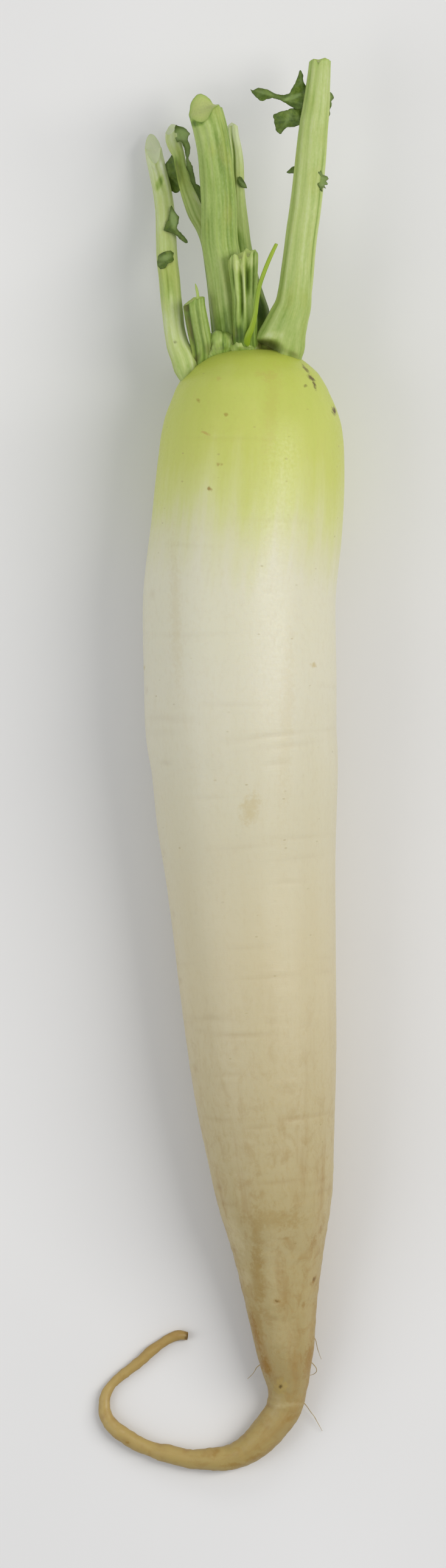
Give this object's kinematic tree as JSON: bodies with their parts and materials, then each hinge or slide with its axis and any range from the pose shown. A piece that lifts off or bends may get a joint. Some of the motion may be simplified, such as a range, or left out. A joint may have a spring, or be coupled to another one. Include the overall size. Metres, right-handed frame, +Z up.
{
  "type": "long white radish",
  "caption": "Long white radish with a green shoulder, cut leaf stalks at the crown and a thin tail curled to one side.",
  "frame": {"origin": "centre of the bounding box's base, on the surface that the radish lies on", "axes": "+Y along the root towards the cut leaf stalks, +Z up, +X away from the curl of the tail"},
  "size_m": [0.0648, 0.3714, 0.0503],
  "materials": {
    "root_skin": "satin",
    "stalk": "satin",
    "leaf_blade": "matte",
    "shoot": "satin"
  },
  "bodies": {
    "root": {"root": "root_skin", "petiole_right": "stalk", "petiole_centre": "stalk", "petiole_centre_back": "stalk", "petiole_left_inner": "stalk", "petiole_left_outer": "stalk", "stub_left": "stalk", "stub_front": "stalk", "young_shoot": "shoot", "crown_scale_left": "stalk", "crown_scale_right": "stalk", "leaf_right_upper": "leaf_blade", "leaf_right_lower": "leaf_blade", "leaf_right_bud_left": "leaf_blade", "leaf_right_bud_top": "leaf_blade", "leaf_right_bud_low": "leaf_blade", "leaf_left_inner": "leaf_blade", "leaf_left_inner_low": "leaf_blade", "leaf_left_outer_flap": "leaf_blade", "leaf_left_outer_band": "leaf_blade", "leaf_centre_back_bud": "leaf_blade"}
  },
  "joints": []
}
